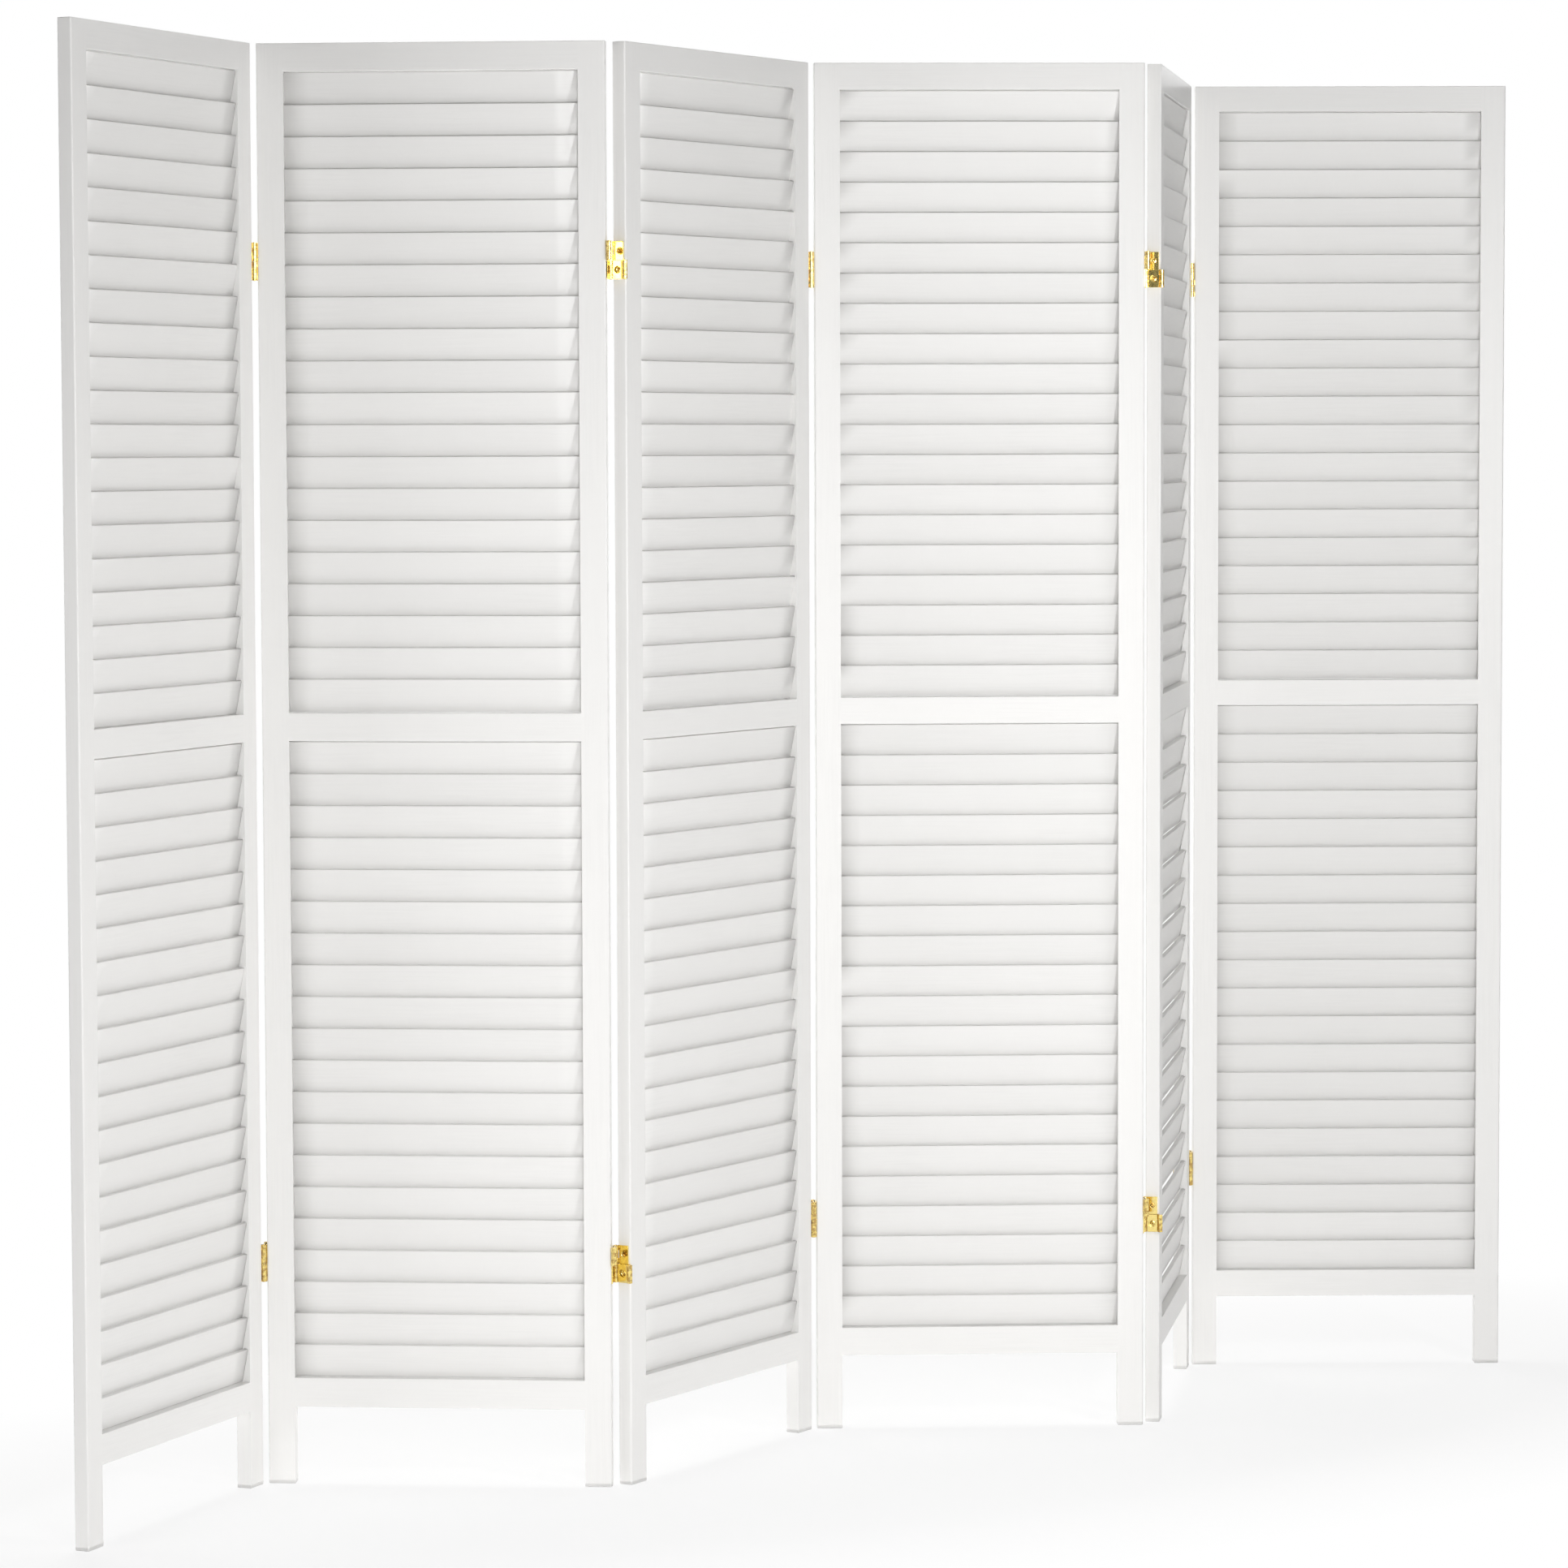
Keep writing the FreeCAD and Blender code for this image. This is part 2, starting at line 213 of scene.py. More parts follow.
class BrassSettings(bpy.types.PropertyGroup):
    """The polished plating of the hinges."""

    color: FloatVectorProperty(
        name="Brass", description="Colour of the polished brass", subtype="COLOR",
        default=(0.92, 0.74, 0.27), min=0, max=1,
    )
    stain: FloatVectorProperty(
        name="Stain", description="Colour of the brass where it has dulled", subtype="COLOR",
        default=(0.35, 0.17, 0.045), min=0, max=1,
    )
    # On the knuckles the dull patches are partly tarnish and partly painted shade and dark reflection
    rolled_stain_and_shade_share: FloatProperty(
        name="Rolled Stain And Shade Share", description="How much the dull patches show on the rolled knuckles",
        default=0.7, min=0, max=1,
    )
    roughness: FloatProperty(
        name="Roughness", description="Roughness of the polish", default=0.12, min=0, max=1,
    )
    wave_depth: FloatProperty(
        name="Wave Depth", description="Relief left by the stamping", unit="LENGTH",
        default=0.02 * MM, precision=6,
    )
    edge_break: FloatProperty(
        name="Edge Break", description="Rounding of the stamped edges", unit="LENGTH",
        default=0.16 * MM, precision=5,
    )
    head_dome: FloatProperty(
        name="Head Dome", description="How far the rim of a screw head lies under its middle",
        unit="LENGTH", default=0.35 * MM, precision=5,
    )
    knuckle_reach: FloatProperty(
        name="Knuckle Reach", description="Reach of a knuckle round its pin, in radii of the pin",
        default=2.5, min=1,
    )


class StudioSettings(bpy.types.PropertyGroup):
    """The floor, the lamps and the camera."""

    floor_color: FloatVectorProperty(
        name="Floor", description="Colour of the floor", subtype="COLOR",
        default=(0.88, 0.88, 0.88), min=0, max=1,
    )
    floor_radius: FloatProperty(
        name="Floor Radius", description="Reach of the floor", unit="LENGTH", default=30.0,
    )
    shadow_share: FloatProperty(
        name="Shadow Share", description="How much of its shadow the white floor shows",
        default=0.22, min=0, max=1,
    )
    lit_level: FloatProperty(
        name="Lit Level", description="Brightness at which the lit floor shows as white",
        default=0.85, min=0, max=1,
    )
    shadow_reach: FloatProperty(
        name="Shadow Reach", description="Distance along the screen at which the floor is white",
        unit="LENGTH", default=1.9,
    )
    shadow_shape: FloatVectorProperty(
        name="Shadow Shape", description="How much sooner the floor fades in each direction",
        subtype="XYZ", default=(1.0, 2.4, 1.0),
    )
    sky_strength: FloatProperty(
        name="Sky", description="Light from all round", default=0.02, min=0,
    )
    flag_color: FloatVectorProperty(
        name="Flags", description="Colour of the dark flags", subtype="COLOR",
        default=(0.02, 0.02, 0.02), min=0, max=1,
    )
    lamp_share: FloatProperty(
        name="Lamps", description="Brightness of all the lamps together", default=1.0, min=0,
    )
    camera_place: FloatVectorProperty(
        name="Camera Place", description="Place of the camera", subtype="TRANSLATION",
        default=(-3.590, -5.255, 1.2275),
    )
    camera_heading: FloatProperty(
        name="Camera Heading", description="Turn of the camera from straight along +Y",
        subtype="ANGLE", default=math.radians(-33.958),
    )
    camera_pitch: FloatProperty(
        name="Camera Pitch", description="How far the camera looks down", subtype="ANGLE",
        default=math.radians(3.720),
    )
    camera_roll: FloatProperty(
        name="Camera Roll", description="Turn of the camera about its own line of sight",
        subtype="ANGLE", default=math.radians(-0.171),
    )
    lens: FloatProperty(
        name="Lens", description="Focal length for a sensor 36 mm wide", subtype="DISTANCE_CAMERA",
        default=118.98,
    )


# Measures taken from the frame

def middle(node):
    """The middle of a node's box."""
    low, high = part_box(node)
    return (low + high) / 2


def panel_axis(number):
    """The direction from a panel's left stile to its right one."""
    span = middle(f"panel_{number}_right_stile") - middle(f"panel_{number}_left_stile")
    return Vector((span.x, span.y, 0)).normalized()


def screen_middle():
    """The middle of the whole screen's box."""
    low, high = cad_box
    return (low + high) / 2


# Shader nodes

def socket(group, name, kind, out=False, default=None):
    """Adds a named input or output to a node group."""
    way = "OUTPUT" if out else "INPUT"
    made = group.interface.new_socket(name=name, in_out=way, socket_type=kind)
    if default is not None:
        made.default_value = default
    return made


def add(tree, kind, **values):
    """Adds a node and sets its properties."""
    node = tree.nodes.new(kind)
    for name, value in values.items():
        setattr(node, name, value)
    return node


def plug(tree, start, output, end, target):
    """Links an output to an input."""
    tree.links.new(start.outputs[output], end.inputs[target])


def stretched_noise(tree, start, pattern):
    """A noise pattern over the vector output of a node."""
    scale, detail, stretch = PATTERNS[pattern]
    spread = add(tree, "ShaderNodeVectorMath", operation="MULTIPLY")
    spread.inputs[1].default_value = stretch
    plug(tree, start, "Vector", spread, 0)
    noise = add(tree, "ShaderNodeTexNoise")
    noise.inputs["Scale"].default_value = scale
    noise.inputs["Detail"].default_value = detail
    plug(tree, spread, 0, noise, "Vector")
    return noise


def combined(tree, first, second, operation="ADD"):
    """A math node, adding unless told otherwise, that takes two (node, output) pairs."""
    node = add(tree, "ShaderNodeMath", operation=operation)
    plug(tree, first[0], first[1], node, 0)
    plug(tree, second[0], second[1], node, 1)
    return node


def ranged(tree, start, output, span, to_span):
    """A map range node fed by an output, which turns one span into another."""
    node = add(tree, "ShaderNodeMapRange")
    for name, value in zip(("From Min", "From Max", "To Min", "To Max"), (*span, *to_span)):
        node.inputs[name].default_value = value
    plug(tree, start, output, node, "Value")
    return node


def painted_timber_group():
    """Satin paint over planed timber whose grain runs along the vector's X."""
    group = bpy.data.node_groups.new("painted_timber", "ShaderNodeTree")
    socket(group, "Vector", "NodeSocketVector")
    socket(group, "Paint", "NodeSocketColor")
    socket(group, "Tone", "NodeSocketFloat", default=0.5)
    socket(group, "Streak", "NodeSocketFloat")
    socket(group, "Grain Depth", "NodeSocketFloat")
    socket(group, "Peel Depth", "NodeSocketFloat")
    socket(group, "Roughness", "NodeSocketFloat")
    socket(group, "Color", "NodeSocketColor", out=True)
    socket(group, "Roughness", "NodeSocketFloat", out=True)
    socket(group, "Height", "NodeSocketFloat", out=True)
    given = add(group, "NodeGroupInput")
    result = add(group, "NodeGroupOutput")

    grain = stretched_noise(group, given, "grain")
    pores = stretched_noise(group, given, "pores")
    peel = stretched_noise(group, given, "peel")
    cloud = stretched_noise(group, given, "cloud")

    figure = ranged(group, grain, "Fac", FIGURE_SPAN, (0, 1))
    strength = ranged(group, cloud, "Fac", FIGURE_SPAN, FIGURE_STRENGTH)
    shown = combined(group, (figure, 0), (strength, 0), "MULTIPLY")
    shade = combined(group, (shown, 0), (given, "Streak"), "MULTIPLY")
    bright = add(group, "ShaderNodeMath", operation="SUBTRACT")
    bright.inputs[0].default_value = 1
    plug(group, shade, 0, bright, 1)
    toned = ranged(group, given, "Tone", (0, 1), TONE_SHARE)
    level = combined(group, (bright, 0), (toned, 0), "MULTIPLY")
    color = add(group, "ShaderNodeVectorMath", operation="SCALE")
    plug(group, given, "Paint", color, 0)
    plug(group, level, 0, color, "Scale")
    plug(group, color, 0, result, "Color")

    uneven = ranged(group, peel, "Fac", PEEL_SPAN, PEEL_ROUGHNESS)
    rough = combined(group, (uneven, 0), (given, "Roughness"), "MULTIPLY")
    plug(group, rough, 0, result, "Roughness")

    ridges = combined(group, (grain, "Fac"), (pores, "Fac"))
    grain_height = combined(group, (ridges, 0), (given, "Grain Depth"), "MULTIPLY")
    held = combined(group, (grain_height, 0), (strength, 0), "MULTIPLY")
    peel_height = combined(group, (peel, "Fac"), (given, "Peel Depth"), "MULTIPLY")
    height = combined(group, (held, 0), (peel_height, 0))
    plug(group, height, 0, result, "Height")
    return group


def polished_brass_group():
    """Polished brass plating with faint waves from the stamping and dulled patches.

    Rolled is 1 on the rolled knuckles, which are duller and less even than the flat plates; their dark
    patches are partly tarnish and partly painted shade and dark reflection.
    """
    group = bpy.data.node_groups.new("polished_brass", "ShaderNodeTree")
    socket(group, "Vector", "NodeSocketVector")
    socket(group, "Brass", "NodeSocketColor")
    socket(group, "Stain", "NodeSocketColor")
    socket(group, "Stain And Shade Share", "NodeSocketFloat")
    socket(group, "Rolled", "NodeSocketFloat", default=0)
    socket(group, "Rolled Stain And Shade Share", "NodeSocketFloat")
    socket(group, "Wave Depth", "NodeSocketFloat")
    socket(group, "Roughness", "NodeSocketFloat")
    socket(group, "Color", "NodeSocketColor", out=True)
    socket(group, "Roughness", "NodeSocketFloat", out=True)
    socket(group, "Height", "NodeSocketFloat", out=True)
    given = add(group, "NodeGroupInput")
    result = add(group, "NodeGroupOutput")

    patch = stretched_noise(group, given, "patch")
    wave = stretched_noise(group, given, "wave")
    rub = stretched_noise(group, given, "rub")

    # Dull patches darken the brass: tarnish, and on the knuckles and screws also painted shade and dark
    # reflection
    dull = ranged(group, patch, "Fac", DULL_SPAN, (0, 1))
    rolled = combined(group, (given, "Rolled"), (given, "Rolled Stain And Shade Share"), "MULTIPLY")
    most = combined(group, (rolled, 0), (given, "Stain And Shade Share"), "MAXIMUM")
    share = combined(group, (dull, 0), (most, 0), "MULTIPLY")
    mixed = add(group, "ShaderNodeMix", data_type="RGBA")
    plug(group, share, 0, mixed, 0)
    plug(group, given, "Brass", mixed, 6)
    plug(group, given, "Stain", mixed, 7)
    plug(group, mixed, 2, result, "Color")

    worn = ranged(group, rub, "Fac", RUB_SPAN, RUB_ROUGHNESS)
    rough = combined(group, (worn, 0), (given, "Roughness"), "MULTIPLY")
    plug(group, rough, 0, result, "Roughness")

    uneven = ranged(group, given, "Rolled", (0, 1), ROLLED_WAVES)
    relief = combined(group, (wave, "Fac"), (uneven, 0), "MULTIPLY")
    height = combined(group, (relief, 0), (given, "Wave Depth"), "MULTIPLY")
    plug(group, height, 0, result, "Height")
    return group


def shared_group(name, builder):
    """The node group of this name, built once."""
    return bpy.data.node_groups.get(name) or builder()


def surface(name, group, turn, metallic):
    """A material whose colour, roughness and relief come from one group over turned coordinates."""
    material = bpy.data.materials.new(name)
    material.use_nodes = True
    tree = material.node_tree
    tree.nodes.clear()
    place = add(tree, "ShaderNodeTexCoord")
    mapping = add(tree, "ShaderNodeMapping")
    mapping.inputs["Rotation"].default_value = turn
    plug(tree, place, "Object", mapping, "Vector")
    finish = add(tree, "ShaderNodeGroup")
    finish.node_tree = group
    plug(tree, mapping, "Vector", finish, "Vector")
    bump = add(tree, "ShaderNodeBump")
    bump.inputs["Distance"].default_value = 1
    plug(tree, finish, "Height", bump, "Height")
    shader = add(tree, "ShaderNodeBsdfPrincipled")
    shader.inputs["Metallic"].default_value = metallic
    plug(tree, finish, "Color", shader, "Base Color")
    plug(tree, finish, "Roughness", shader, "Roughness")
    plug(tree, bump, "Normal", shader, "Normal")
    out = add(tree, "ShaderNodeOutputMaterial")
    plug(tree, shader, "BSDF", out, "Surface")
    return material, finish


def paint_material(name, turn, painted_shade_factor=1.0):
    """Satin paint over timber, with the grain turned to run along the piece."""
    paint = bpy.context.scene.divider_paint
    group = shared_group("painted_timber", painted_timber_group)
    material, finish = surface(name, group, turn, 0)
    # The factor darkens the paint as painted shade; it is 1 for the frames and below 1 for the slats
    finish.inputs["Paint"].default_value = (*[level * painted_shade_factor for level in paint.color], 1)
    finish.inputs["Streak"].default_value = paint.streak
    finish.inputs["Grain Depth"].default_value = paint.grain_depth
    finish.inputs["Peel Depth"].default_value = paint.peel_depth
    finish.inputs["Roughness"].default_value = paint.roughness
    return material, finish


def brass_material(name):
    """Polished brass for one kind of hinge piece."""
    brass = bpy.context.scene.divider_brass
    # The dulling share of the screws is partly painted shade and dark reflection
    stain_and_shade_share, roughness_share = FINISHES[name]
    group = shared_group("polished_brass", polished_brass_group)
    material, finish = surface(name, group, (0, 0, 0), 1)
    finish.inputs["Brass"].default_value = (*brass.color, 1)
    finish.inputs["Stain"].default_value = (*brass.stain, 1)
    finish.inputs["Stain And Shade Share"].default_value = stain_and_shade_share
    finish.inputs["Wave Depth"].default_value = brass.wave_depth
    finish.inputs["Roughness"].default_value = brass.roughness * roughness_share
    finish.inputs["Rolled Stain And Shade Share"].default_value = brass.rolled_stain_and_shade_share
    tree = material.node_tree
    rolled = add(tree, "ShaderNodeAttribute", attribute_name="rolled")
    plug(tree, rolled, "Fac", finish, "Rolled")
    return material


def coat(obj, material):
    """Gives an object one material."""
    obj.data.materials.clear()
    obj.data.materials.append(material)


# Painted frames

def stile_paint():
    """Paint for the stiles, grain up the stile."""
    return paint_material("stile_paint", (0, math.radians(90), 0))[0]


def rail_paint(number):
    """Paint for the rails of a panel, grain along the rail."""
    along = panel_axis(number)
    return paint_material(f"rail_paint_{number}", (0, 0, -math.atan2(along.y, along.x)))[0]


def slat_paint(number):
    """Paint for the slats of a panel, a little darker than the frames' paint as painted shade: each
    slat has its own tone.
    """
    along = panel_axis(number)
    material, finish = paint_material(
        f"slat_paint_{number}", (0, 0, -math.atan2(along.y, along.x)),
        painted_shade_factor=bpy.context.scene.divider_paint.slat_painted_shade,
    )
    tree = material.node_tree
    tone = add(tree, "ShaderNodeAttribute", attribute_name="slat_tone")
    plug(tree, tone, "Fac", finish, "Tone")
    return material


# Meshes

def merged_copy(node_name):
    """A bmesh of a node with its loose triangles joined at their corners."""
    mesh = bmesh.new()
    mesh.from_mesh(frame["nodes"][node_name].data)
    bmesh.ops.remove_doubles(mesh, verts=mesh.verts, dist=MERGE_REACH)
    return mesh


def whole_faces(node_name):
    """A bmesh of a node with its triangles joined into whole faces."""
    mesh = merged_copy(node_name)
    bmesh.ops.dissolve_limit(mesh, angle_limit=FLAT_ANGLE, verts=mesh.verts, edges=mesh.edges)
    return mesh


def new_object(name, mesh):
    """Makes a scene object of a bmesh and frees the bmesh."""
    data = bpy.data.meshes.new(name)
    mesh.to_mesh(data)
    mesh.free()
    made = bpy.data.objects.new(name, data)
    bpy.context.scene.collection.objects.link(made)
    return made


def islands(mesh):
    """The loose parts of a bmesh, lowest first, each in the same order on every run."""
    left = set(mesh.verts)
    parts = []
    for start in mesh.verts:
        if start not in left:
            continue
        left.remove(start)
        part = [start]
        edge_of_part = [start]
        while edge_of_part:
            vert = edge_of_part.pop()
            for edge in vert.link_edges:
                other = edge.other_vert(vert)
                if other in left:
                    left.remove(other)
                    part.append(other)
                    edge_of_part.append(other)
        parts.append(part)
    return sorted(parts, key=lambda part: min(vert.co.z for vert in part))


# Slats

def bent_slats(number, draws):
    """The slats of a panel, each with its own slight bow and twist."""
    slats = bpy.context.scene.divider_slats
    node_name = f"panel_{number}_louvre_slats"
    along = panel_axis(number)
    face = Vector((along.y, -along.x, 0))
    centre = middle(node_name)
    mesh = merged_copy(node_name)
    half = max(abs((vert.co - centre).dot(along)) for vert in mesh.verts)
    for station in range(1, slats.stations + 1):
        share = 2 * station / (slats.stations + 1) - 1
        bmesh.ops.bisect_plane(
            mesh, geom=mesh.verts[:] + mesh.edges[:] + mesh.faces[:],
            dist=MERGE_REACH, plane_co=centre + along * half * share, plane_no=along,
        )
    tones = mesh.verts.layers.float.new("slat_tone")
    for part in islands(mesh):
        heart = sum((vert.co for vert in part), Vector()) / len(part)
        bow = draws.uniform(-slats.bow, slats.bow)
        lift = draws.uniform(-slats.bow, slats.bow) / LIFT_DIVISOR
        twist = draws.uniform(-slats.twist, slats.twist)
        play = draws.uniform(-slats.play, slats.play)
        tone = draws.random()
        for vert in part:
            vert[tones] = tone
            reach = (vert.co - centre).dot(along) / half
            bend = (1 - reach * reach) ** 2
            turn = Matrix.Rotation(play + twist * bend, 3, along)
            offset = vert.co - heart
            inline = along * offset.dot(along)
            vert.co = heart + inline + turn @ (offset - inline)
            vert.co += face * bow * bend + UP * lift * bend
    piece = new_object(f"panel_{number}_painted_slats", mesh)
    piece.data.shade_smooth()
    piece.data.set_sharp_from_angle(angle=SHARP_ANGLE)
    return piece


# Hinges

def pin_lines():
    """Where the hinge pins stand, and their radius."""
    lines = []
    for number in PANELS:
        mesh = whole_faces(f"panel_{number}_hinge_pins")
        for part in islands(mesh):
            low = Vector((min(vert.co.x for vert in part), min(vert.co.y for vert in part)))
            high = Vector((max(vert.co.x for vert in part), max(vert.co.y for vert in part)))
            lines.append(((low + high) / 2, (high.x - low.x) / 2))
        mesh.free()
    return lines


def mark_knuckles(mesh, lines, reach):
    """Marks the vertices that lie round a pin, out to a share of its radius."""
    rolled = mesh.verts.layers.float.new("rolled")
    for vert in mesh.verts:
        near = any((vert.co.xy - place).length < radius * reach for place, radius in lines)
        vert[rolled] = 1 if near else 0


def stamped_plates(number, kind, lines):
    """The leaves or straps of a panel, with the small rounding of a stamped edge."""
    brass = bpy.context.scene.divider_brass
    mesh = whole_faces(f"panel_{number}_hinge_{kind}")
    sharp = [edge for edge in mesh.edges if edge.calc_face_angle(0) > SHARP_ANGLE]
    bmesh.ops.bevel(
        mesh, geom=sharp, offset=brass.edge_break, offset_type="OFFSET", segments=EDGE_SEGMENTS,
        profile=0.5, affect="EDGES", clamp_overlap=True, material=-1,
    )
    mark_knuckles(mesh, lines, brass.knuckle_reach)
    piece = new_object(f"panel_{number}_stamped_{kind}", mesh)
    piece.data.shade_smooth()
    shading = piece.modifiers.new("flat faces", "WEIGHTED_NORMAL")
    shading.keep_sharp = True
    return piece


def domed_screws(number):
    """The screws of a panel, whose heads are domed, so that the rim lies a little deeper."""
    dome = bpy.context.scene.divider_brass.head_dome
    along = panel_axis(number)
    across = Vector((along.y, -along.x, 0))
    heart = middle(f"panel_{number}_middle_rail")
    mesh = merged_copy(f"panel_{number}_hinge_screws")
    for part in islands(mesh):
        outward = along if (part[0].co - heart).dot(along) > 0 else -along
        top = max(vert.co.dot(outward) for vert in part)
        head = [vert for vert in part if top - vert.co.dot(outward) < HEAD_SLACK]
        sides = [vert.co.dot(across) for vert in head]
        heights = [vert.co.z for vert in head]
        axis = across * (min(sides) + max(sides)) / 2 + UP * (min(heights) + max(heights)) / 2
        spokes = {}
        for vert in head:
            spokes[vert] = across * (vert.co - axis).dot(across) + UP * (vert.co - axis).dot(UP)
        rim = max(spoke.length for spoke in spokes.values())
        for vert, spoke in spokes.items():
            share = (spoke.length / rim) ** 2
            vert.co -= (outward + spoke.normalized()) * dome * share
    piece = new_object(f"panel_{number}_domed_screws", mesh)
    piece.data.shade_smooth()
    piece.data.set_sharp_from_angle(angle=SHARP_ANGLE)
    return piece


def dress_hinges(number, kind, piece, polish):
    """Puts a brass piece in the place of a panel's hinge node."""
    coat(piece, polish)
    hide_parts(f"panel_{number}_hinge_{kind}")
    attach(piece, f"panel_{number}")


def dress_plates(kind, polish):
    """Replaces the leaves or the straps of every panel by stamped and polished ones."""
    lines = pin_lines()
    for number in PANELS:
        dress_hinges(number, kind, stamped_plates(number, kind, lines), polish)


# Studio

def studio_floor(studio):
    """A white floor that fades to pure white away from the screen and keeps a soft shadow."""
    mesh = bmesh.new()
    bmesh.ops.create_circle(
        mesh, cap_ends=True, segments=FLOOR_SEGMENTS, radius=studio.floor_radius
    )
    floor = new_object("studio_floor", mesh)
    coat(floor, floor_material(studio))


def floor_material(studio):
    """Pale matte floor, shown near white to the camera."""
    material = bpy.data.materials.new("studio_floor")
    material.use_nodes = True
    tree = material.node_tree
    tree.nodes.clear()
    matte = add(tree, "ShaderNodeBsdfDiffuse")
    matte.inputs["Color"].default_value = (*studio.floor_color, 1)
    place = add(tree, "ShaderNodeTexCoord")
    squeezed = add(tree, "ShaderNodeVectorMath", operation="MULTIPLY")
    squeezed.inputs[1].default_value = studio.shadow_shape
    plug(tree, place, "Object", squeezed, 0)
    distance = add(tree, "ShaderNodeVectorMath", operation="LENGTH")
    plug(tree, squeezed, 0, distance, 0)
    fade = (studio.shadow_reach * FADE_START, studio.shadow_reach)
    near = ranged(tree, distance, "Value", fade, (studio.shadow_share, 0))
    share = ranged(tree, near, 0, (0, 1), (1, 1 - studio.lit_level))
    white = add(tree, "ShaderNodeEmission")
    plug(tree, share, 0, white, "Strength")
    tint = add(tree, "ShaderNodeVectorMath", operation="SCALE")
    tint.inputs[0].default_value = studio.floor_color
    plug(tree, near, 0, tint, "Scale")
    shade = add(tree, "ShaderNodeBsdfDiffuse")
    plug(tree, tint, 0, shade, "Color")
    shown = add(tree, "ShaderNodeAddShader")
    plug(tree, white, 0, shown, 0)
    plug(tree, shade, 0, shown, 1)
    both = add(tree, "ShaderNodeMixShader")
    plug(tree, seen_directly(tree), 0, both, 0)
    plug(tree, matte, 0, both, 1)
    plug(tree, shown, 0, both, 2)
    out = add(tree, "ShaderNodeOutputMaterial")
    plug(tree, both, 0, out, "Surface")
    return material


def seen_directly(tree):
    """One for camera, glossy and transmission rays."""
    path = add(tree, "ShaderNodeLightPath")
    first = combined(tree, (path, "Is Camera Ray"), (path, "Is Glossy Ray"), "MAXIMUM")
    return combined(tree, (first, 0), (path, "Is Transmission Ray"), "MAXIMUM")


def studio_world(studio):
    """White all round to the camera and in reflections, and a softer light on the screen."""
    world = bpy.data.worlds.new("studio")
    bpy.context.scene.world = world
    world.use_nodes = True
    tree = world.node_tree
    tree.nodes.clear()
    light = add(tree, "ShaderNodeBackground")
    light.inputs["Color"].default_value = WHITE
    light.inputs["Strength"].default_value = studio.sky_strength
    white = add(tree, "ShaderNodeBackground")
    white.inputs["Color"].default_value = WHITE
    both = add(tree, "ShaderNodeMixShader")
    plug(tree, seen_directly(tree), 0, both, 0)
    plug(tree, light, 0, both, 1)
    plug(tree, white, 0, both, 2)
    out = add(tree, "ShaderNodeOutputWorld")
    plug(tree, both, 0, out, "Surface")


def lamp(name, place, target, size, power, shape="SQUARE"):
    """An area lamp aimed at a point, which the camera doesn't see."""
    data = bpy.data.lights.new(name, "AREA")
    data.shape = shape
    data.size = size
    data.energy = power
    obj = bpy.data.objects.new(name, data)
    obj.location = place
    obj.rotation_euler = (target - Vector(place)).to_track_quat("-Z", "Y").to_euler()
    obj.visible_camera = False
    bpy.context.scene.collection.objects.link(obj)
    return obj


def studio_lamps(studio):
    """Soft lamps round the screen, and the light that the white floor throws up."""
    heart = screen_middle()
    for name, (place, size, power) in LAMPS.items():
        lamp(name, place, heart, size, power * studio.lamp_share)
    for name, (place, size, power) in FLOOR_LAMPS.items():
        above = Vector(place) + UP
        glow = lamp(name, place, above, size, power * studio.lamp_share, "DISK")
        glow.visible_glossy = False
    place, size, power = GLINT
    glint = lamp("glint_lamp", place, heart, size, power * studio.lamp_share)
    glint.visible_diffuse = False


def studio_flags(studio):
    """Dark cards, which show only as dark lines in the polished metal."""
    heart = screen_middle()
    material = bpy.data.materials.new("flag_cloth")
    material.use_nodes = True
    shader = material.node_tree.nodes["Principled BSDF"]
    shader.inputs["Base Color"].default_value = (*studio.flag_color, 1)
    shader.inputs["Roughness"].default_value = 1
    for name, (place, width, height) in FLAGS.items():
        mesh = bmesh.new()
        bmesh.ops.create_grid(mesh, x_segments=1, y_segments=1, size=0.5)
        bmesh.ops.scale(mesh, vec=(width, height, 1), verts=mesh.verts)
        level = Vector((heart.x, heart.y, place[2]))
        turn = (level - Vector(place)).to_track_quat("Z", "Y").to_matrix().to_4x4()
        bmesh.ops.transform(mesh, matrix=Matrix.Translation(place) @ turn, verts=mesh.verts)
        flag = new_object(name, mesh)
        coat(flag, material)
        for kind in ("camera", "diffuse", "transmission", "volume_scatter", "shadow"):
            setattr(flag, f"visible_{kind}", False)


def studio_camera(studio):
    """The camera at the photograph's angle."""
    data = bpy.data.cameras.new("camera")
    data.lens = studio.lens
    camera = bpy.data.objects.new("camera", data)
    camera.matrix_world = (
        Matrix.Translation(studio.camera_place)
        @ Matrix.Rotation(studio.camera_heading, 4, "Z")
        @ Matrix.Rotation(math.radians(90) - studio.camera_pitch, 4, "X")
        @ Matrix.Rotation(studio.camera_roll, 4, "Z")
    )
    bpy.context.scene.collection.objects.link(camera)
    bpy.context.scene.camera = camera


# Operators

class DIVIDER_OT_paint_stiles(bpy.types.Operator):
    """Paints every stile"""

    bl_idname = "divider.paint_stiles"
    bl_label = "Paint Stiles"

    def execute(self, context):
        paint = stile_paint()
        for number in PANELS:
            for side in ("left", "right"):
                coat(frame["nodes"][f"panel_{number}_{side}_stile"], paint)
        return {"FINISHED"}


class DIVIDER_OT_paint_rails(bpy.types.Operator):
    """Paints every rail, with the grain along it"""

    bl_idname = "divider.paint_rails"
    bl_label = "Paint Rails"

    def execute(self, context):
        for number in PANELS:
            paint = rail_paint(number)
            for level in ("top", "middle", "bottom"):
                coat(frame["nodes"][f"panel_{number}_{level}_rail"], paint)
        return {"FINISHED"}


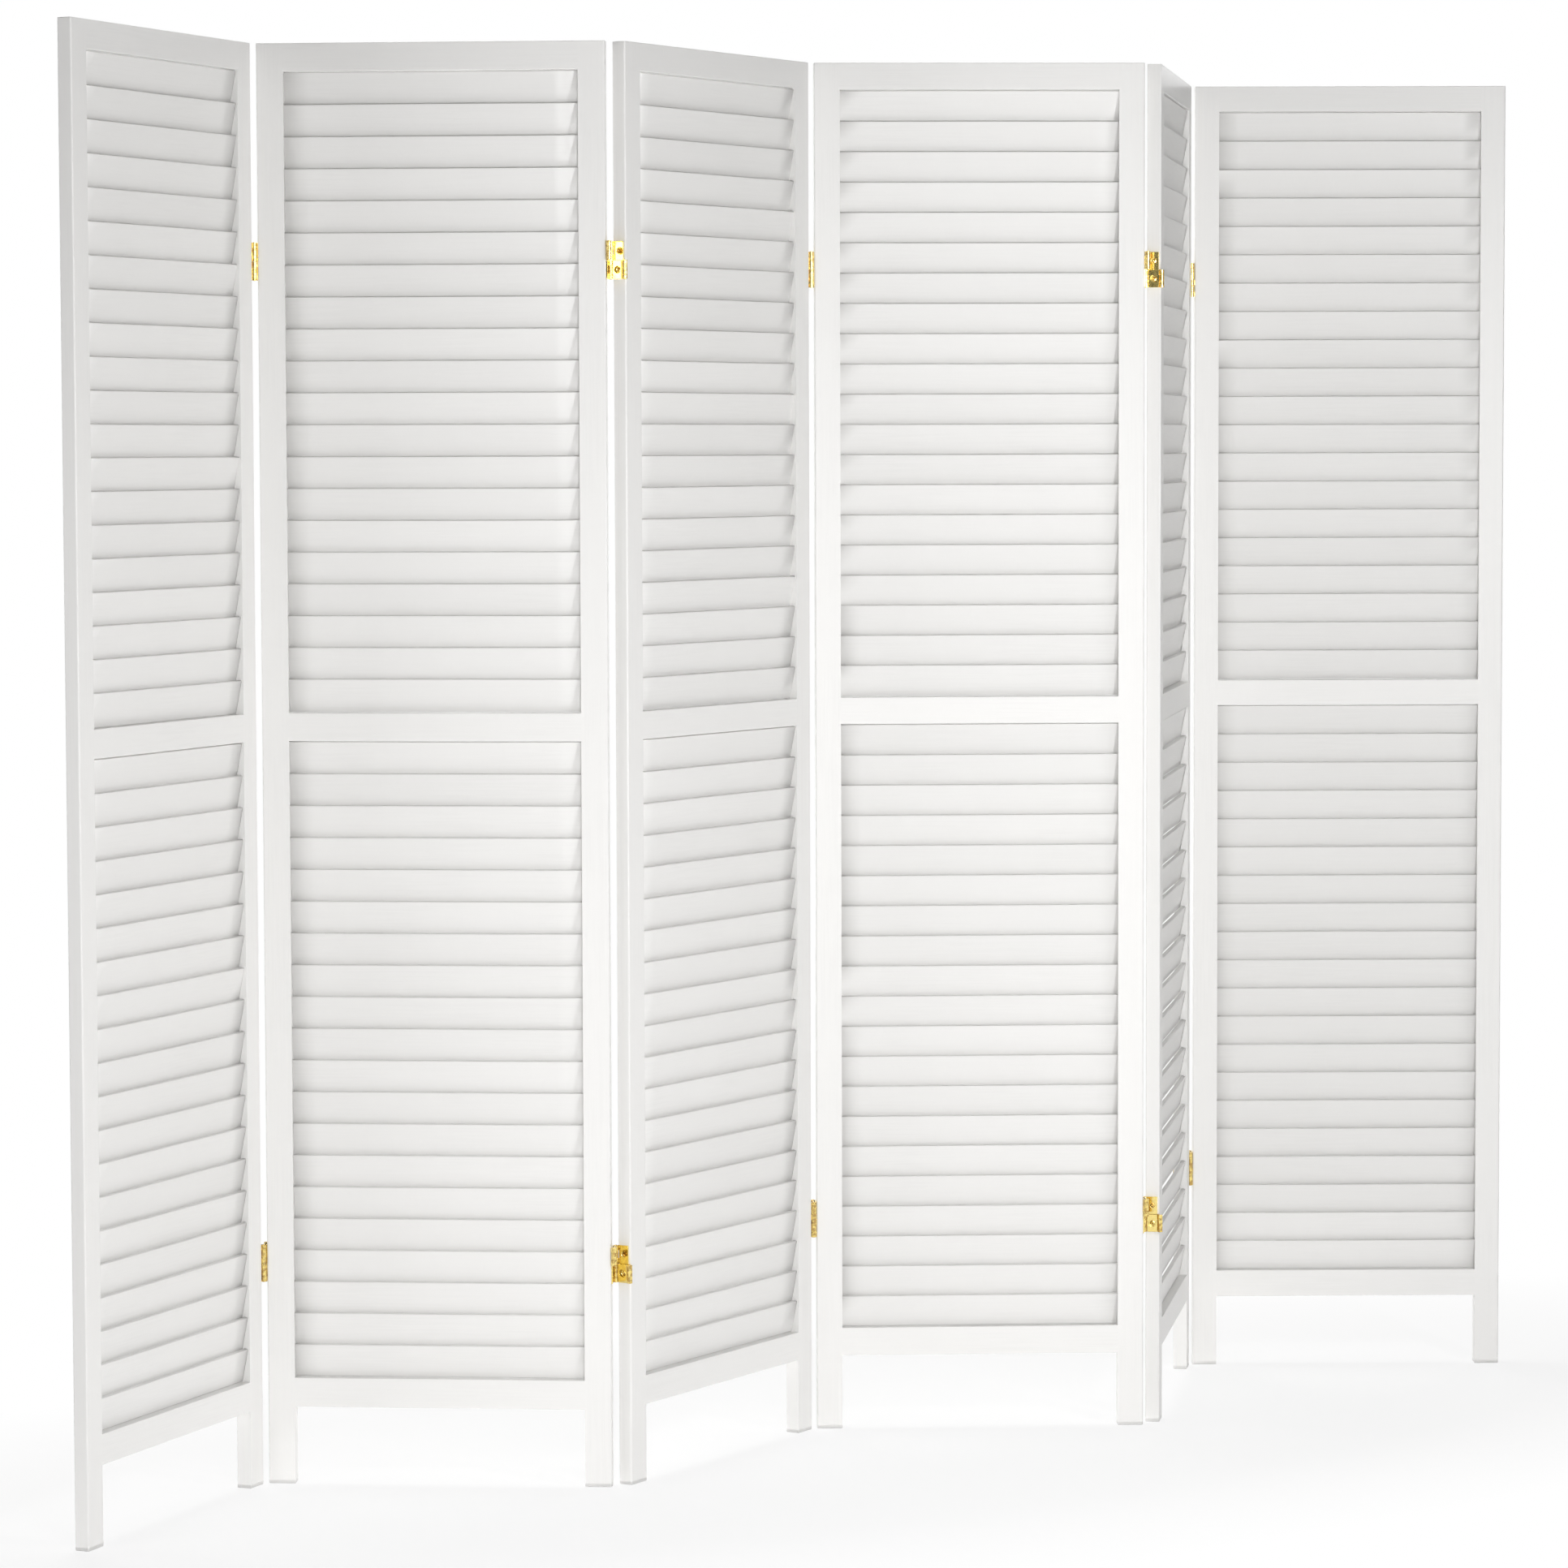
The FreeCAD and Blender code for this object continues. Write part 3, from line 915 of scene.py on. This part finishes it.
class DIVIDER_OT_shape_slats(bpy.types.Operator):
    """Bends and paints the slats of every panel"""

    bl_idname = "divider.shape_slats"
    bl_label = "Shape Slats"

    def execute(self, context):
        draws = random.Random(context.scene.divider_slats.seed)
        for number in PANELS:
            piece = bent_slats(number, draws)
            coat(piece, slat_paint(number))
            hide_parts(f"panel_{number}_louvre_slats")
            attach(piece, f"panel_{number}")
        return {"FINISHED"}


class DIVIDER_OT_stamp_leaves(bpy.types.Operator):
    """Stamps and polishes the leaves of every hinge"""

    bl_idname = "divider.stamp_leaves"
    bl_label = "Stamp Leaves"

    def execute(self, context):
        dress_plates("leaves", brass_material("leaf_brass"))
        return {"FINISHED"}


class DIVIDER_OT_stamp_straps(bpy.types.Operator):
    """Stamps and polishes the straps of every hinge"""

    bl_idname = "divider.stamp_straps"
    bl_label = "Stamp Straps"

    def execute(self, context):
        dress_plates("straps", brass_material("strap_brass"))
        return {"FINISHED"}


class DIVIDER_OT_polish_pins(bpy.types.Operator):
    """Polishes the pins of every hinge"""

    bl_idname = "divider.polish_pins"
    bl_label = "Polish Pins"

    def execute(self, context):
        polish = brass_material("pin_brass")
        for number in PANELS:
            coat(frame["nodes"][f"panel_{number}_hinge_pins"], polish)
        return {"FINISHED"}


class DIVIDER_OT_polish_screws(bpy.types.Operator):
    """Polishes the screws of every hinge"""

    bl_idname = "divider.polish_screws"
    bl_label = "Polish Screws"

    def execute(self, context):
        polish = brass_material("screw_brass")
        for number in PANELS:
            dress_hinges(number, "screws", domed_screws(number), polish)
        return {"FINISHED"}


class DIVIDER_OT_set_studio(bpy.types.Operator):
    """Sets the floor, the lamps, the white surround and the camera"""

    bl_idname = "divider.set_studio"
    bl_label = "Set Studio"

    def execute(self, context):
        studio = context.scene.divider_studio
        studio_floor(studio)
        studio_world(studio)
        studio_lamps(studio)
        studio_flags(studio)
        studio_camera(studio)
        context.scene.view_settings.view_transform = "Standard"
        return {"FINISHED"}


class DIVIDER_PT_finish(bpy.types.Panel):
    """Lists the steps and the settings of the screen"""

    bl_idname = "DIVIDER_PT_finish"
    bl_label = "Folding Screen"
    bl_space_type = "VIEW_3D"
    bl_region_type = "UI"
    bl_category = "Folding Screen"

    def draw(self, context):
        layout = self.layout
        for step in OPERATORS:
            layout.operator(step.bl_idname)
        for name, group in SETTINGS.items():
            box = layout.box()
            for setting in group.__annotations__:
                box.prop(getattr(context.scene, name), setting)


OPERATORS = (
    DIVIDER_OT_paint_stiles,
    DIVIDER_OT_paint_rails,
    DIVIDER_OT_shape_slats,
    DIVIDER_OT_stamp_leaves,
    DIVIDER_OT_stamp_straps,
    DIVIDER_OT_polish_pins,
    DIVIDER_OT_polish_screws,
    DIVIDER_OT_set_studio,
)
SETTINGS = {
    "divider_paint": PaintSettings,
    "divider_slats": SlatSettings,
    "divider_brass": BrassSettings,
    "divider_studio": StudioSettings,
}
CLASSES = (*SETTINGS.values(), *OPERATORS, DIVIDER_PT_finish)


def register():
    for cls in CLASSES:
        bpy.utils.register_class(cls)
    for name, group in SETTINGS.items():
        setattr(bpy.types.Scene, name, PointerProperty(type=group))


def unregister():
    for name in SETTINGS:
        delattr(bpy.types.Scene, name)
    for cls in reversed(CLASSES):
        bpy.utils.unregister_class(cls)


def main():
    """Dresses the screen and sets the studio."""
    register()
    bpy.ops.divider.paint_stiles()
    bpy.ops.divider.paint_rails()
    bpy.ops.divider.shape_slats()
    bpy.ops.divider.stamp_leaves()
    bpy.ops.divider.stamp_straps()
    bpy.ops.divider.polish_pins()
    bpy.ops.divider.polish_screws()
    bpy.ops.divider.set_studio()


if __name__ == "__main__":
    main()
